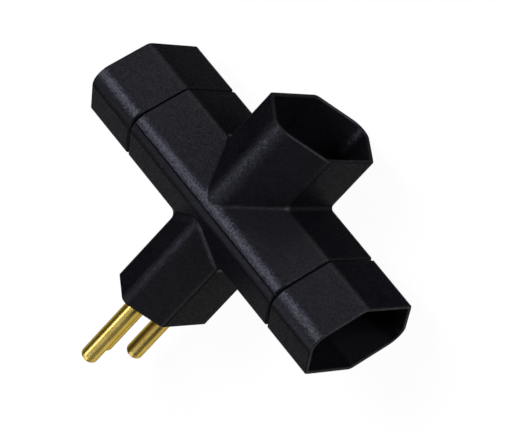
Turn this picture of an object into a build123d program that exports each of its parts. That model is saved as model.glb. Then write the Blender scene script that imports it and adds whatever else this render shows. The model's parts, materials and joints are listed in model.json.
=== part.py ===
from build123d import *
import os
from math import atan2, cos
from typing import NamedTuple

# Three-outlet adapter for round pins: a cross of hexagonal arms with one plug arm and three socket arms.
# The origin is at the middle of the plug's face. X runs along the body, the pins point to +Y, into the
# wall, and the front socket to -Y. Z is up, along the long way of every hexagon.

os.makedirs("parts", exist_ok=True)


class Section(NamedTuple):
    """A six-sided arm: sizes over the sharp corners, then the radii that round them."""
    wide: float
    flat: float
    narrow: float
    ridge_round: float
    corner_round: float


# Round-pin system
PIN_DIAMETER = 4.0
PIN_LENGTH = 19.0
PIN_TIP_ROUND = 1.4
PIN_SPACING = 19.0
EARTH_OFFSET = 3.0
HOLE_CLEARANCE = 0.3

# Walls, sockets and edges
SHELL_WALL = 2.0
COLLAR_WALL = 1.1
RECESS_DEPTH = 11.0
SOCKET_FLOOR = 2.6
PLUG_FACE_WALL = 3.0
GROOVE_WIDTH = 0.3
GROOVE_CHAMFER = 0.4
RIM_CHAMFER = 0.2
SEAM_WIDTH = 0.4
SEAM_DEPTH = 0.6
SEAM_EASE = 0.15
LEAST_ROUND = 0.3

# Brass pins, each riveted to its strip
SHANK_STEP = 0.3
SHANK_CLEARANCE = 0.02
FLANGE_STEP = 0.5
FLANGE_THICKNESS = 1.2
FLANGE_CLEARANCE = 0.2
NECK_DIAMETER = 3.0
NECK_CLEARANCE = 0.05
HEAD_STEP = 0.7
HEAD_THICKNESS = 0.8

# Strips and the rolled clips that grip a plug's pins
STRIP_THICKNESS = 0.6
STRIP_WIDTH = 5.2
STRIP_SETBACK = 1.0
STRIP_CLEARANCE = 0.15
BEND_ROUND = 0.5
CLIP_WALL = 0.5
CLIP_CLEARANCE = 0.05
CLIP_LENGTH = 12.0
CLIP_SETBACK = 0.3
CLIP_SLIT = 1.2
CLIP_FOOT = 3.0

# Plug arm: how far its sharp ridges lie beyond the outer pins, and its length from the middle of the cross
PLUG_RIDGE_MARGIN = 7.7
PLUG_RIDGE_ROUND = 2.0
PLUG_CORNER_ROUND = 2.2
PLUG_REACH = 30.2
PLUG_ARM_FILLET = 2.0

# Body and socket arms: their flats and sharp ridges beyond the outer pins, and the room round a plug
BODY_LENGTH = 50.2
FLAT_MARGIN = 0.9
RIDGE_MARGIN = 12.1
RIDGE_ROUND = 4.2
CORNER_ROUND = 3.0
PLUG_ENTRY_GAP = 1.3
FRONT_RIDGE_DROP = 0.3
FRONT_FLOOR_RISE = 0.6
FRONT_ARM_FILLET = 1.1

# Spigot by which each end cap sits in the body, and the ribs that stop it
SPIGOT_LENGTH = 5.0
SPIGOT_WALL = 1.5
SPIGOT_CLEARANCE = 0.1
RIB_THICKNESS = 1.6

# Pin and clip sizes that follow from the ones above
SHANK_DIAMETER = PIN_DIAMETER + 2 * SHANK_STEP
FLANGE_DIAMETER = SHANK_DIAMETER + 2 * FLANGE_STEP
HEAD_DIAMETER = NECK_DIAMETER + 2 * HEAD_STEP
HOLE_DIAMETER = PIN_DIAMETER + 2 * HOLE_CLEARANCE
CLIP_BORE = PIN_DIAMETER / 2 + CLIP_CLEARANCE
CLIP_OUTER = CLIP_BORE + CLIP_WALL

# The plug is just deep enough for the earth pin, and a socket takes such a plug
PLUG_DEPTH = 2 * (EARTH_OFFSET + max(FLANGE_DIAMETER, STRIP_WIDTH) / 2 + FLANGE_CLEARANCE + SHELL_WALL)
SOCKET_DEPTH = PLUG_DEPTH + 2 * (PLUG_ENTRY_GAP + COLLAR_WALL)
RIDGE_WIDTH = PIN_SPACING + 2 * RIDGE_MARGIN
FLAT_WIDTH = PIN_SPACING + 2 * FLAT_MARGIN
BODY = Section(RIDGE_WIDTH, FLAT_WIDTH, SOCKET_DEPTH, RIDGE_ROUND, CORNER_ROUND)
FRONT_ARM = BODY._replace(wide=RIDGE_WIDTH - 2 * FRONT_RIDGE_DROP)
PLUG_ARM = Section(
    PIN_SPACING + 2 * PLUG_RIDGE_MARGIN, PIN_SPACING, PLUG_DEPTH, PLUG_RIDGE_ROUND, PLUG_CORNER_ROUND
)

# Places along the arms, measured from the middle of the cross
BODY_END = BODY_LENGTH / 2
CAP_BACK = BODY_END + GROOVE_WIDTH
CAP_FLOOR = CAP_BACK + SOCKET_FLOOR
CAP_REACH = CAP_FLOOR + RECESS_DEPTH
FRONT_BACK = SOCKET_DEPTH / 2 + FRONT_FLOOR_RISE
FRONT_FLOOR = FRONT_BACK + SOCKET_FLOOR
FRONT_REACH = FRONT_FLOOR + RECESS_DEPTH
RIB_PLACE = CAP_BACK - SPIGOT_LENGTH - SPIGOT_CLEARANCE - RIB_THICKNESS
PLUG_INNER_FACE = PLUG_REACH - PLUG_FACE_WALL
TAB_PLACE = PLUG_INNER_FACE - FLANGE_THICKNESS

# One plane for each arm, with its normal pointing out of the arm and its own Y up towards the line pin
CENTRE = (0, -PLUG_REACH, 0)
FRONT = Plane(CENTRE, x_dir=(1, 0, 0), z_dir=(0, -1, 0))
PLUG = Plane(CENTRE, x_dir=(-1, 0, 0), z_dir=(0, 1, 0))
RIGHT = Plane(CENTRE, x_dir=(0, 1, 0), z_dir=(1, 0, 0))
LEFT = Plane(CENTRE, x_dir=(0, -1, 0), z_dir=(-1, 0, 0))


class Contact(NamedTuple):
    """A pole: its place across a socket, and on which side of the clip its strip lies."""
    across: float
    up: float
    strip_side: int


CONTACTS = {
    "line": Contact(across=0, up=PIN_SPACING / 2, strip_side=-1),
    "neutral": Contact(across=0, up=-PIN_SPACING / 2, strip_side=1),
    "earth": Contact(across=EARTH_OFFSET, up=0, strip_side=-1),
}
# Each socket: its plane, and how far out the back of its floor lies
SOCKETS = {"front": (FRONT, FRONT_BACK), "left": (LEFT, CAP_BACK), "right": (RIGHT, CAP_BACK)}


def inset(section, wall):
    """The section that lies a wall's thickness inside another one."""
    slope = atan2((section.wide - section.flat) / 2, section.narrow / 2)
    wide = section.wide - 2 * wall / cos(slope)
    narrow = section.narrow - 2 * wall
    flat = wide - narrow * (section.wide - section.flat) / section.narrow
    ridge_round = max(section.ridge_round - wall, LEAST_ROUND)
    corner_round = max(section.corner_round - wall, LEAST_ROUND)
    return Section(wide, flat, narrow, ridge_round, corner_round)


def hexagon(section):
    """A six-sided outline with its two ridges on the sketch's Y axis."""
    half_wide, half_flat, half_narrow = section.wide / 2, section.flat / 2, section.narrow / 2
    with BuildSketch() as outline:
        with BuildLine():
            Polyline(
                (0, half_wide), (half_narrow, half_flat), (half_narrow, -half_flat),
                (0, -half_wide), (-half_narrow, -half_flat), (-half_narrow, half_flat),
                close=True,
            )
        make_face()
        from_bottom = outline.vertices().group_by(Axis.Y)
        fillet(from_bottom[0] + from_bottom[-1], section.ridge_round)
        from_left = outline.vertices().group_by(Axis.X)
        fillet(from_left[0] + from_left[-1], section.corner_round)
    return outline.sketch


def outward(plane):
    """The axis that runs out along an arm."""
    return Axis(CENTRE, tuple(plane.z_dir))


def pole_places():
    """Where the three pins go through a socket's floor."""
    return Locations(*[(contact.across, contact.up) for contact in CONTACTS.values()])


def rib_windows():
    """The gaps in a rib that the strips and clips pass through."""
    with BuildSketch() as windows:
        for contact in CONTACTS.values():
            strip_edge = contact.strip_side * (CLIP_OUTER + STRIP_THICKNESS + STRIP_CLEARANCE)
            clip_edge = -contact.strip_side * (CLIP_OUTER + STRIP_CLEARANCE)
            with Locations((contact.across, contact.up + (strip_edge + clip_edge) / 2)):
                Rectangle(STRIP_WIDTH + 2 * STRIP_CLEARANCE, abs(strip_edge - clip_edge))
    return windows.sketch


def half_shell(arm_plane, arm, arm_fillet, reach, pocket_depth):
    """The half of the body that carries one arm: hollow, with an end open to each cap."""
    cavity = inset(BODY, SHELL_WALL)
    with BuildPart() as shell:
        with BuildSketch(RIGHT):
            add(hexagon(BODY))
        extrude(amount=BODY_END, both=True)
        with BuildSketch(arm_plane.offset(reach)):
            add(hexagon(arm))
        extrude(amount=-reach)

        # The arm flows into the body; the edges of its rim and of the body's two ends are broken
        along_arm = outward(arm_plane)
        arm_edges = shell.edges(Select.LAST).filter_by(along_arm, reverse=True)
        fillet(arm_edges - shell.faces().sort_by(along_arm)[-1].edges(), arm_fillet)
        ends = shell.faces().sort_by(Axis.X)
        chamfer(ends[0].edges() + ends[-1].edges(), GROOVE_CHAMFER)
        chamfer(shell.faces().sort_by(along_arm)[-1].edges(), RIM_CHAMFER)

        with BuildSketch(RIGHT):
            add(hexagon(cavity))
        extrude(amount=BODY_END, both=True, mode=Mode.SUBTRACT)
        with BuildSketch(arm_plane):
            add(hexagon(inset(arm, SHELL_WALL)))
        extrude(amount=pocket_depth, mode=Mode.SUBTRACT)

        # Ribs that stop the caps' spigots and hold the strips
        for end_plane in (LEFT, RIGHT):
            with BuildSketch(end_plane.offset(RIB_PLACE)):
                add(hexagon(inset(BODY, SHELL_WALL / 2)))
                add(rib_windows(), mode=Mode.SUBTRACT)
            extrude(amount=RIB_THICKNESS)

        split(bisect_by=arm_plane, keep=Keep.TOP)
    return shell.part


def save(piece, name):
    """Label a finished piece and write it to its own file."""
    piece.part.label = name
    export_step(piece.part, f"parts/{name}.step")


# Front half of the body, with the front socket's collar and floor
with BuildPart() as front_shell:
    add(half_shell(FRONT, FRONT_ARM, FRONT_ARM_FILLET, FRONT_REACH, FRONT_BACK))
    with BuildSketch(FRONT.offset(FRONT_FLOOR)):
        add(hexagon(inset(FRONT_ARM, COLLAR_WALL)))
    extrude(amount=RECESS_DEPTH, mode=Mode.SUBTRACT)
    chamfer(front_shell.faces().sort_by(outward(FRONT))[-1].inner_wires()[0].edges(), RIM_CHAMFER)
    with BuildSketch(FRONT.offset(FRONT_BACK)):
        with pole_places():
            Circle(HOLE_DIAMETER / 2)
    extrude(amount=SOCKET_FLOOR, mode=Mode.SUBTRACT)
save(front_shell, "front_shell")

# Rear half of the body, with the plug arm, the holes that hold the pins, and a shadow line along the seam
with BuildPart() as rear_shell:
    add(half_shell(PLUG, PLUG_ARM, PLUG_ARM_FILLET, PLUG_REACH, PLUG_INNER_FACE))
    crest = rear_shell.part.bounding_box().max.Z
    with BuildSketch(RIGHT):
        with BuildLine():
            Polyline(
                (0, crest + SEAM_EASE), (SEAM_WIDTH + 2 * SEAM_EASE, crest + SEAM_EASE),
                (SEAM_WIDTH, crest - SEAM_EASE), (SEAM_WIDTH, crest - SEAM_DEPTH), (0, crest - SEAM_DEPTH),
                close=True,
            )
        make_face()
        mirror(about=Plane.XZ)
    extrude(amount=BODY_END, both=True, mode=Mode.SUBTRACT)
    with BuildSketch(PLUG.offset(PLUG_INNER_FACE)):
        for contact in CONTACTS.values():
            with Locations((-contact.across, contact.up)):
                Circle(SHANK_DIAMETER / 2 + SHANK_CLEARANCE)
    extrude(amount=PLUG_FACE_WALL, mode=Mode.SUBTRACT)
save(rear_shell, "rear_shell")


# End caps: a socket collar with its floor, and a spigot that sits inside the body
for side, plane in (("left", LEFT), ("right", RIGHT)):
    spigot = inset(BODY, SHELL_WALL + SPIGOT_CLEARANCE)
    with BuildPart() as cap:
        with BuildSketch(plane.offset(CAP_BACK)):
            add(hexagon(BODY))
        extrude(amount=CAP_REACH - CAP_BACK)
        from_back = cap.faces().sort_by(outward(plane))
        chamfer(from_back[-1].edges(), RIM_CHAMFER)
        chamfer(from_back[0].edges(), GROOVE_CHAMFER)
        with BuildSketch(plane.offset(CAP_FLOOR)):
            add(hexagon(inset(BODY, COLLAR_WALL)))
        extrude(amount=RECESS_DEPTH, mode=Mode.SUBTRACT)
        chamfer(cap.faces().sort_by(outward(plane))[-1].inner_wires()[0].edges(), RIM_CHAMFER)
        with BuildSketch(plane.offset(CAP_BACK)):
            add(hexagon(spigot))
            add(hexagon(inset(spigot, SPIGOT_WALL)), mode=Mode.SUBTRACT)
        extrude(amount=-SPIGOT_LENGTH)
        with BuildSketch(plane.offset(CAP_BACK)):
            with pole_places():
                Circle(HOLE_DIAMETER / 2)
        extrude(amount=SOCKET_FLOOR, mode=Mode.SUBTRACT)
    save(cap, f"{side}_cap")


# Turned pins: a round-ended shaft, a shank in the plug's face, a flange behind it and a rivet end
flange_back = -PLUG_FACE_WALL - FLANGE_THICKNESS
strip_back = flange_back - STRIP_THICKNESS
head_back = strip_back - HEAD_THICKNESS
for pole, contact in CONTACTS.items():
    root = PLUG.offset(PLUG_REACH).from_local_coords((-contact.across, contact.up))
    with BuildPart() as pin:
        with BuildSketch(Plane(root, x_dir=PLUG.x_dir, z_dir=PLUG.x_dir.cross(PLUG.z_dir))):
            with BuildLine():
                Polyline(
                    (0, PIN_LENGTH), (PIN_DIAMETER / 2, PIN_LENGTH),
                    (PIN_DIAMETER / 2, 0), (SHANK_DIAMETER / 2, 0),
                    (SHANK_DIAMETER / 2, -PLUG_FACE_WALL), (FLANGE_DIAMETER / 2, -PLUG_FACE_WALL),
                    (FLANGE_DIAMETER / 2, flange_back), (NECK_DIAMETER / 2, flange_back),
                    (NECK_DIAMETER / 2, strip_back), (HEAD_DIAMETER / 2, strip_back),
                    (HEAD_DIAMETER / 2, head_back), (0, head_back),
                    close=True,
                )
            make_face()
        revolve(axis=Axis(root, PLUG.z_dir))
        fillet(pin.faces().sort_by(outward(PLUG))[-1].edges(), PIN_TIP_ROUND)
    save(pin, f"{pole}_pin")


# Stamped strips: a cross that carries one pole's three clips, with a bent tab riveted to its pin
for pole, contact in CONTACTS.items():
    clip_face = contact.up + contact.strip_side * CLIP_OUTER
    far_face = clip_face + contact.strip_side * STRIP_THICKNESS
    middle = (clip_face + far_face) / 2
    hub_size = 2 * contact.across + STRIP_WIDTH
    with BuildPart() as strip:
        with BuildSketch(Plane(CENTRE).offset(min(clip_face, far_face))):
            Rectangle(hub_size, hub_size)
        extrude(amount=STRIP_THICKNESS)
        for plane, floor_back in SOCKETS.values():
            with BuildSketch(plane):
                with Locations((contact.across, middle)):
                    Rectangle(STRIP_WIDTH, STRIP_THICKNESS)
            extrude(amount=floor_back - STRIP_SETBACK)
        with BuildSketch(PLUG):
            with Locations((-contact.across, middle)):
                Rectangle(STRIP_WIDTH, STRIP_THICKNESS)
        extrude(amount=TAB_PLACE)
        with BuildSketch(PLUG.offset(TAB_PLACE)):
            with Locations((-contact.across, (contact.up + far_face) / 2)):
                Rectangle(STRIP_WIDTH, abs(contact.up - far_face))
            with Locations((-contact.across, contact.up)):
                Circle(STRIP_WIDTH / 2)
                Circle(NECK_DIAMETER / 2 + NECK_CLEARANCE, mode=Mode.SUBTRACT)
        extrude(amount=-STRIP_THICKNESS)
        fillet(strip.edges().filter_by(Axis.X).group_by(outward(PLUG))[-1], BEND_ROUND)
    save(strip, f"{pole}_strip")


# Rolled clips: a split sleeve behind each socket hole, on a flat foot that sits on the strip
for socket, (plane, floor_back) in SOCKETS.items():
    for pole, contact in CONTACTS.items():
        foot_height = 2 * CLIP_WALL
        with BuildPart() as clip:
            with BuildSketch(plane.offset(floor_back - CLIP_SETBACK)):
                with Locations((contact.across, contact.up)):
                    Circle(CLIP_OUTER)
                    with Locations((0, contact.strip_side * (CLIP_OUTER - foot_height / 2))):
                        Rectangle(CLIP_FOOT, foot_height)
                    Circle(CLIP_BORE, mode=Mode.SUBTRACT)
                    with Locations((0, -contact.strip_side * CLIP_OUTER / 2)):
                        Rectangle(CLIP_SLIT, CLIP_OUTER, mode=Mode.SUBTRACT)
            extrude(amount=-CLIP_LENGTH)
        save(clip, f"{socket}_{pole}_clip")
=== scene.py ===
# %% [markdown]
# # A cross-shaped multi socket adapter
# The adapter is a cross of four hexagonal arms, moulded in black plastic, with three brass pins.
# The solids of every piece are already made, at their real size, and this lesson dresses them.
# They are loaded as a fixed frame: origin in the middle of the plug's face, pins to +Y, Z up.
# Nothing below moves them, and their box is kept. Lengths are in metres, as Blender takes
# them, and MM stands for a millimetre.

# %% Load the solids
import bpy
import json
from math import cos, radians, sin
from mathutils import Matrix, Vector


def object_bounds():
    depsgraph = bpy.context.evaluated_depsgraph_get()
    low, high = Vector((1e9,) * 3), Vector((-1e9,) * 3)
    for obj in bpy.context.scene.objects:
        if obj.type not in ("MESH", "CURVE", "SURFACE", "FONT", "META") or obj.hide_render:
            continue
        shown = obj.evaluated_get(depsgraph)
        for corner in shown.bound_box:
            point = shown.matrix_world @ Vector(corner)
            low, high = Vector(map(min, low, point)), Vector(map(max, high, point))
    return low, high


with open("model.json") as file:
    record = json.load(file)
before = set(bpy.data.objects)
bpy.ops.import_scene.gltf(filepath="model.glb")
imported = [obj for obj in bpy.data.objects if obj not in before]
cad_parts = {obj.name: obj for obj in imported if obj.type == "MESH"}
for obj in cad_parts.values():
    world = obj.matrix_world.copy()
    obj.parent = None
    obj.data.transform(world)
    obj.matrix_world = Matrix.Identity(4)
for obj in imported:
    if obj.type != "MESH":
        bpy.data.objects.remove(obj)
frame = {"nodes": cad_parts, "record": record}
CAD_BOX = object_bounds()
MM = 0.001
print("solids:", len(frame["nodes"]), "nodes, size in mm",
      [round((high - low) / MM, 2) for low, high in zip(*CAD_BOX)])

# %% [markdown]
# ## Camera
# The photograph looks down on the adapter from beside its front socket, through a long lens, with
# the camera turned about a quarter on its side. A camera could be placed by eye, but here its
# angles were worked out from the outline of the arms and pins, so the picture and the photograph
# can be laid over each other. The camera is built from a point to look at, a direction and a roll,
# by two small functions that place the lamps as well.

# %% Helpers that place things around the adapter
AIM = Vector((-3.915, -29.631, -1.211)) * MM
UP = Vector((0, 0, 1))


def direction(azimuth, elevation):
    """The unit vector from the adapter to a place around it, from two angles in degrees."""
    azimuth, elevation = radians(azimuth), radians(elevation)
    level = cos(elevation)
    return Vector((level * cos(azimuth), level * sin(azimuth), sin(elevation)))


def looking_back(towards, distance, roll=0.0):
    """The matrix that stands a camera or a lamp in that direction and turns it to the adapter."""
    right = UP.cross(towards).normalized()
    level = Matrix((right, towards.cross(right), towards)).transposed()
    turn = level @ Matrix.Rotation(radians(roll), 3, "Z")
    return Matrix.Translation(AIM + towards * distance) @ turn.to_4x4()


print("everything looks at", [round(x / MM, 2) for x in AIM], "mm")

# %% Camera at the photograph's angle
# Angles are in degrees, and the lens is a focal length in millimetres
AZIMUTH = 228.165
ELEVATION = 61.026
ROLL = -91.132
DISTANCE = 674.4 * MM
LENS = 213.82

bpy.ops.object.camera_add()
camera = bpy.context.active_object
camera.name = "camera"
camera.data.lens = LENS
camera.matrix_world = looking_back(direction(AZIMUTH, ELEVATION), DISTANCE, ROLL)
bpy.context.scene.camera = camera
print("camera at", [round(x, 4) for x in camera.matrix_world.translation])

# %% [markdown]
# ## Floor and world
# The adapter stands on plain white paper. Paper lit by the lamps alone would come out grey, and
# more light would wash out the black plastic. So the paper is mostly lit by itself, where a ray
# comes straight from the camera or off something glossy, and the rest is plain matt paper that
# takes the adapter's soft shadow. A dim world fills the shadows.

# %% Helpers for node trees
def place(tree, kind, inputs=None, **options):
    """Add a node to a tree, set its options, and set the inputs that nothing is linked to."""
    made = tree.nodes.new(kind)
    for option, value in options.items():
        setattr(made, option, value)
    for socket, value in (inputs or {}).items():
        made.inputs[socket].default_value = value
    return made


def link(tree, source, socket, target, entry):
    """Join one node's output to another node's input."""
    tree.links.new(source.outputs[socket], target.inputs[entry])


print("helpers that add and join nodes are ready")

# %% White paper floor
PAPER_SIZE = 6.0
FLOOR_LEVEL = CAD_BOX[0].z

bpy.ops.object.select_all(action="DESELECT")
bpy.ops.mesh.primitive_plane_add(size=PAPER_SIZE, location=(AIM.x, AIM.y, FLOOR_LEVEL))
paper = bpy.context.active_object
paper.name = "paper"
print("paper floor at z =", round(FLOOR_LEVEL / MM, 2), "mm")

# %% Material: paper that lights itself
PAPER_COLOUR = (0.92, 0.92, 0.92, 1)
PAPER_GLOW = 0.96
WHITE = (1, 1, 1, 1)
WHITE_STRENGTH = 1.0

paper_finish = bpy.data.materials.new("white_paper")
paper_finish.use_nodes = True
tree = paper_finish.node_tree
tree.nodes.clear()
ray = place(tree, "ShaderNodeLightPath")
camera_or_gloss = place(tree, "ShaderNodeMath", operation="MAXIMUM")
seen = place(tree, "ShaderNodeMath", operation="MAXIMUM")
share = place(tree, "ShaderNodeMath", {1: PAPER_GLOW}, operation="MULTIPLY")
matt = place(tree, "ShaderNodeBsdfDiffuse", {"Color": PAPER_COLOUR})
glow = place(tree, "ShaderNodeEmission", {"Color": WHITE, "Strength": WHITE_STRENGTH})
mix = place(tree, "ShaderNodeMixShader")
output = place(tree, "ShaderNodeOutputMaterial")
link(tree, ray, "Is Camera Ray", camera_or_gloss, 0)
link(tree, ray, "Is Glossy Ray", camera_or_gloss, 1)
link(tree, camera_or_gloss, 0, seen, 0)
link(tree, ray, "Is Transmission Ray", seen, 1)
link(tree, seen, 0, share, 0)
link(tree, share, 0, mix, "Fac")
link(tree, matt, 0, mix, 1)
link(tree, glow, 0, mix, 2)
link(tree, mix, 0, output, "Surface")
paper.data.materials.append(paper_finish)
print(paper_finish.name, "lit by itself to", PAPER_GLOW)

# %% Dim world
WORLD_COLOUR = (0.9, 0.95, 1.0, 1)
WORLD_STRENGTH = 0.08

world = bpy.data.worlds.new("studio")
bpy.context.scene.world = world
world.use_nodes = True
background = world.node_tree.nodes["Background"]
background.inputs["Color"].default_value = WORLD_COLOUR
background.inputs["Strength"].default_value = WORLD_STRENGTH
bpy.context.scene.view_settings.view_transform = "Standard"
print("world strength", WORLD_STRENGTH)

# %% [markdown]
# ## Lamps
# The adapter stands in soft studio light. The lamps could stand anywhere, but black plastic shows
# little more than what it mirrors, so each one stands where a face needs it. The key draws the
# line along the ridge, the left lamp lights the faces on the camera's side, the small front lamp
# lights the grain of the front slants, and the back lamp, low behind the plug, draws the streaks
# along the pins.

# %% Soft lamps
LAMP_DISTANCE = 0.8
LAMP_COLOUR = (0.90, 0.92, 1.18)
# Each lamp: azimuth and elevation in degrees, width in metres, power in watts
LAMPS = {
    "key_lamp": (336, 67, 0.26, 6.8),
    "left_lamp": (232, 8, 0.5, 5.2),
    "front_lamp": (305, 5, 0.15, 0.55),
    "back_lamp": (98, 28, 0.5, 3.2),
}

for name, (azimuth, elevation, width, power) in LAMPS.items():
    bpy.ops.object.light_add(type="AREA")
    lamp = bpy.context.active_object
    lamp.name = name
    lamp.data.size = width
    lamp.data.energy = power
    lamp.data.color = LAMP_COLOUR
    lamp.matrix_world = looking_back(direction(azimuth, elevation), LAMP_DISTANCE)
print("lamps:", ", ".join(LAMPS))

# %% [markdown]
# ## The grain of moulded plastic
# The mould was eroded by sparks, which leaves a fine, even grain of pits and tiny facets on every
# outer face. It could be cut into the mesh, but it is far finer than any edge of the part, so it is
# made from textures, in a node group of its own that any moulded piece can use. The group reads a
# point of the part. It puts out the height of the grain, its pits, a shade that differs from cell
# to cell and drifts slowly over the part, and a facet: the way in which each cell leans.

# %% Helper for node groups
FLOAT, VECTOR = "NodeSocketFloat", "NodeSocketVector"


def new_group(name, inputs, outputs):
    """A shader node group with named sockets; returns it with its input and output nodes."""
    group = bpy.data.node_groups.new(name, "ShaderNodeTree")
    for socket, kind in inputs.items():
        group.interface.new_socket(name=socket, in_out="INPUT", socket_type=kind)
    for socket, kind in outputs.items():
        group.interface.new_socket(name=socket, in_out="OUTPUT", socket_type=kind)
    print("node group:", name, "gives", ", ".join(outputs))
    return group, group.nodes.new("NodeGroupInput"), group.nodes.new("NodeGroupOutput")


# %% Node group: the textures of the spark-eroded grain
LUMP_NOISE = {"Detail": 2.0, "Roughness": 0.6}
CLOUD_NOISE = {"Detail": 3.0, "Roughness": 0.55}

grain_group, entry, leave = new_group(
    "spark_eroded_grain",
    {"Point": VECTOR, "Grain Scale": FLOAT, "Cloud Scale": FLOAT},
    {"Height": FLOAT, "Pits": FLOAT, "Shade": FLOAT, "Facet": VECTOR},
)
lumps = place(grain_group, "ShaderNodeTexNoise", LUMP_NOISE)
cells = place(grain_group, "ShaderNodeTexVoronoi", feature="SMOOTH_F1")
facets = place(grain_group, "ShaderNodeTexVoronoi")
cloud = place(grain_group, "ShaderNodeTexNoise", CLOUD_NOISE)
for texture in (lumps, cells, facets, cloud):
    link(grain_group, entry, "Point", texture, "Vector")
for texture in (lumps, cells, facets):
    link(grain_group, entry, "Grain Scale", texture, "Scale")
link(grain_group, entry, "Cloud Scale", cloud, "Scale")
print("textures in", grain_group.name)

# %% Node group: what the grain puts out
# The share of the rounded cells in the height, and of the slow clouds in the shade
CELL_SHARE = 0.4
CLOUD_SHARE = 0.3
# Each cell has a random colour; read as a vector from the middle grey, it leans any way
MIDDLE_GREY = (0.5, 0.5, 0.5)

height = place(grain_group, "ShaderNodeMix", {"Factor": CELL_SHARE}, data_type="FLOAT")
link(grain_group, lumps, "Fac", height, "A")
link(grain_group, cells, "Distance", height, "B")
speck = place(grain_group, "ShaderNodeSeparateColor")
shade = place(grain_group, "ShaderNodeMix", {"Factor": CLOUD_SHARE}, data_type="FLOAT")
link(grain_group, facets, "Color", speck, "Color")
link(grain_group, speck, "Red", shade, "A")
link(grain_group, cloud, "Fac", shade, "B")
lean = place(grain_group, "ShaderNodeVectorMath", {1: MIDDLE_GREY}, operation="SUBTRACT")
link(grain_group, facets, "Color", lean, 0)
link(grain_group, height, "Result", leave, "Height")
link(grain_group, cells, "Distance", leave, "Pits")
link(grain_group, shade, "Result", leave, "Shade")
link(grain_group, lean, "Vector", leave, "Facet")
print(grain_group.name, "has", len(grain_group.nodes), "nodes")

# %% [markdown]
# ## Black plastic
# The housing is black and matt, and never one flat black: the grain breaks up the light. It could
# be a plain dark grey with noise on it, but then every face would look alike. Here the base colour
# follows the grain's shade between two near blacks, the roughness follows the pits, and the normal
# leans with each facet before a Bump node adds the grain's height.

# %% Helpers for materials
RAMP_END = 1.0


def new_material(name):
    """A material with nodes; returns it, its tree, its shader and the point on the part."""
    material = bpy.data.materials.new(name)
    material.use_nodes = True
    tree = material.node_tree
    coordinates = place(tree, "ShaderNodeTexCoord")
    return material, tree, tree.nodes["Principled BSDF"], coordinates


def place_ramp(tree, stops):
    """Add a ramp with its stops, each a position and a colour, from the lowest up."""
    ramp = place(tree, "ShaderNodeValToRGB")
    elements = ramp.color_ramp.elements
    while len(elements) < len(stops):
        elements.new(RAMP_END)
    for element, (position, colour) in zip(elements, stops):
        element.position = position
        element.color = (*colour, 1)
    return ramp


def colour_range(tree, source, socket, shader, stops):
    """Drive the base colour from a mask, through a ramp of (position, colour) stops."""
    ramp = place_ramp(tree, stops)
    link(tree, source, socket, ramp, "Fac")
    link(tree, ramp, "Color", shader, "Base Color")


def roughness_range(tree, source, socket, shader, least, most):
    """Drive the roughness from a mask: least where the mask is 0, most where it is 1."""
    span = place(tree, "ShaderNodeMapRange", {"To Min": least, "To Max": most})
    link(tree, source, socket, span, "Value")
    link(tree, span, "Result", shader, "Roughness")


def relief(tree, source, socket, shader, strength, depth):
    """Drive the normal from a height; returns the Bump node."""
    bump = place(tree, "ShaderNodeBump", {"Strength": strength, "Distance": depth})
    link(tree, source, socket, bump, "Height")
    link(tree, bump, "Normal", shader, "Normal")
    return bump


print("helpers for a material's base colour, roughness and relief are ready")

# %% Material: black moulded plastic
GRAIN_PER_METRE = 5200
CLOUDS_PER_METRE = 90
DEEP_BLACK = (0.0010, 0.0009, 0.0011)
PALE_BLACK = (0.0078, 0.0076, 0.0082)
DEEPEST_SHADE, PALEST_SHADE = 0.1, 0.9
LEAST_ROUGHNESS, MOST_ROUGHNESS = 0.36, 0.46
GRAIN_STRENGTH = 1.0
GRAIN_DEPTH = 0.05 * MM

plastic, tree, shader, coordinates = new_material("black_plastic")
grain = place(tree, "ShaderNodeGroup", node_tree=grain_group)
grain.inputs["Grain Scale"].default_value = GRAIN_PER_METRE
grain.inputs["Cloud Scale"].default_value = CLOUDS_PER_METRE
link(tree, coordinates, "Object", grain, "Point")
blacks = [(DEEPEST_SHADE, DEEP_BLACK), (PALEST_SHADE, PALE_BLACK)]
colour_range(tree, grain, "Shade", shader, blacks)
roughness_range(tree, grain, "Pits", shader, LEAST_ROUGHNESS, MOST_ROUGHNESS)
bump = relief(tree, grain, "Height", shader, GRAIN_STRENGTH, GRAIN_DEPTH)
print(plastic.name, "with a grain of", round(1 / GRAIN_PER_METRE / MM, 2), "mm")

# %% Lean the plastic's normal with each facet
FACET_TILT = 0.28

surface = place(tree, "ShaderNodeNewGeometry")
tilt = place(tree, "ShaderNodeVectorMath", {1: [FACET_TILT] * 3}, operation="MULTIPLY_ADD")
tilted = place(tree, "ShaderNodeVectorMath", operation="NORMALIZE")
link(tree, grain, "Facet", tilt, 0)
link(tree, surface, "Normal", tilt, 2)
link(tree, tilt, 0, tilted, 0)
link(tree, tilted, 0, bump, "Normal")
print("facets lean by up to", FACET_TILT / 2, "along each axis")

# %% [markdown]
# ## The plastic's gloss
# Grain hides its own gloss at steep angles, so the real part stays black there. One gloss for all
# angles would be simpler, but it would mirror the white paper as a grey film. So the Specular IOR
# Level follows the slope that a Layer Weight node reads, through a ramp that falls to nothing and
# ends in a faint sheen. The socket's own value is set as well, for programs that can't follow that
# link.

# %% Gloss by slope
# At this blend, Facing is 0 where the surface faces the eye and 1 where it is edge on
PLAIN_BLEND = 0.5
# How glossy the plastic is at each slope
GLOSS_BY_SLOPE = [
    (0.15, 0.19), (0.22, 0.18), (0.3, 0.145), (0.36, 0.1), (0.42, 0.035),
    (0.5, 0.009), (0.56, 0.004), (0.62, 0.0), (0.65, 0.0), (1.0, 0.043),
]
FULL_GLOSS = GLOSS_BY_SLOPE[0][1]

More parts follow.
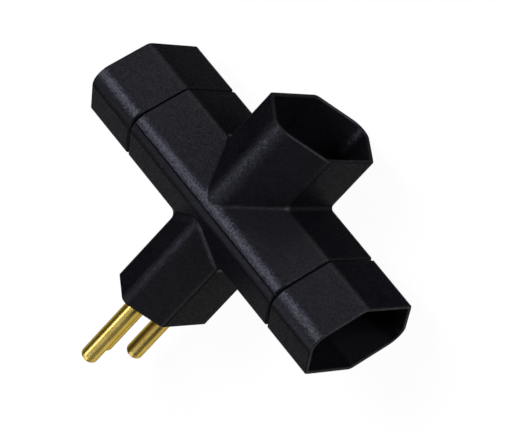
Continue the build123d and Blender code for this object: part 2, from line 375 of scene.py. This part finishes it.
slant = place(tree, "ShaderNodeLayerWeight", {"Blend": PLAIN_BLEND})
gloss = place_ramp(tree, [(slope, [level] * 3) for slope, level in GLOSS_BY_SLOPE])
link(tree, slant, "Facing", gloss, "Fac")
link(tree, gloss, "Color", shader, "Specular IOR Level")
shader.inputs["Specular IOR Level"].default_value = FULL_GLOSS
print("gloss of", plastic.name, "from", FULL_GLOSS, "down, in", len(GLOSS_BY_SLOPE), "stops")

# %% Dress the housing
slot_of = {part["node"]: part["material_slot"] for part in frame["record"]["subparts"]}


def dress(slot, material):
    """Give a finish to all the solids of one material slot."""
    names = [name for name in slot_of if slot_of[name] == slot]
    for name in names:
        frame["nodes"][name].data.materials.clear()
        frame["nodes"][name].data.materials.append(material)
    print(material.name, "on", ", ".join(names))


dress("housing", plastic)

# %% [markdown]
# ## Brass
# The pins are turned from bar and polished, so they carry faint rings around their length, and air
# has dulled them in soft patches. The strips and clips inside are stamped from sheet. Each could
# have a material from scratch, but both share a group that makes tarnish and fine lines, and each
# material then sets its own scale and depth. Thin tarnish also darkens brass where it is seen edge
# on, which the Specular Tint of a metal gives.

# %% Node group: worked brass
LINE_NOISE = {"Detail": 1.0}
TARNISH_NOISE = {"Detail": 4.0, "Roughness": 0.6}

brass_group, entry, leave = new_group(
    "worked_brass",
    {"Point": VECTOR, "Line Scale": FLOAT, "Tarnish Scale": FLOAT},
    {"Lines": FLOAT, "Tarnish": FLOAT},
)
along = place(brass_group, "ShaderNodeSeparateXYZ")
lines = place(brass_group, "ShaderNodeTexNoise", LINE_NOISE, noise_dimensions="1D")
tarnish = place(brass_group, "ShaderNodeTexNoise", TARNISH_NOISE)
link(brass_group, entry, "Point", along, "Vector")
link(brass_group, along, "Y", lines, "W")
link(brass_group, entry, "Line Scale", lines, "Scale")
link(brass_group, entry, "Point", tarnish, "Vector")
link(brass_group, entry, "Tarnish Scale", tarnish, "Scale")
link(brass_group, lines, "Fac", leave, "Lines")
link(brass_group, tarnish, "Fac", leave, "Tarnish")
print(brass_group.name, "has", len(brass_group.nodes), "nodes")

# %% Helper: a brass finish
EDGE_TINT = (0.15, 0.1, 0.05, 1)
DULL_MASK, BRIGHT_MASK = 0.3, 0.65
LINE_STRENGTH = 0.3
ALL_METAL = 1.0


def brass(name, dull, bright, smooth, rough, lines_per_metre, patches_per_metre, line_depth):
    """A brass finish from its dull and bright colours, its fine lines and its tarnish."""
    material, tree, shader, coordinates = new_material(name)
    shader.inputs["Metallic"].default_value = ALL_METAL
    shader.inputs["Specular Tint"].default_value = EDGE_TINT
    work = place(tree, "ShaderNodeGroup", node_tree=brass_group)
    work.inputs["Line Scale"].default_value = lines_per_metre
    work.inputs["Tarnish Scale"].default_value = patches_per_metre
    link(tree, coordinates, "Object", work, "Point")
    colour_range(tree, work, "Tarnish", shader, [(DULL_MASK, dull), (BRIGHT_MASK, bright)])
    roughness_range(tree, work, "Tarnish", shader, rough, smooth)
    relief(tree, work, "Lines", shader, LINE_STRENGTH, line_depth)
    print("brass:", name, "with lines", round(line_depth / MM, 4), "mm deep")
    return material


# %% Materials: turned pins and stamped contacts
turned_brass = brass(
    "turned_brass", dull=(0.52, 0.37, 0.08), bright=(0.67, 0.49, 0.12), smooth=0.38, rough=0.46,
    lines_per_metre=9000, patches_per_metre=250, line_depth=0.0012 * MM,
)
stamped_brass = brass(
    "stamped_brass", dull=(0.42, 0.29, 0.09), bright=(0.58, 0.42, 0.15), smooth=0.3, rough=0.45,
    lines_per_metre=5000, patches_per_metre=180, line_depth=0.005 * MM,
)
dress("pins", turned_brass)
dress("contacts", stamped_brass)

# %% [markdown]
# ## Streaks along the pins
# Turning leaves rings too fine to see, and they stretch every highlight along the pin. A deeper
# bump could do that, but it would glitter. The shader's Anisotropic value does it cleanly: a
# Tangent node runs around the pins' own axis, Y, and a quarter turn lays the stretch along it.

# %% Stretch the pins' highlights
STRETCH = 0.9
QUARTER_TURN = 0.25

tree = turned_brass.node_tree
shader = tree.nodes["Principled BSDF"]
shader.inputs["Anisotropic"].default_value = STRETCH
shader.inputs["Anisotropic Rotation"].default_value = QUARTER_TURN
around = place(tree, "ShaderNodeTangent", direction_type="RADIAL", axis="Y")
link(tree, around, "Tangent", shader, "Tangent")
print("highlights on", turned_brass.name, "stretched by", STRETCH)
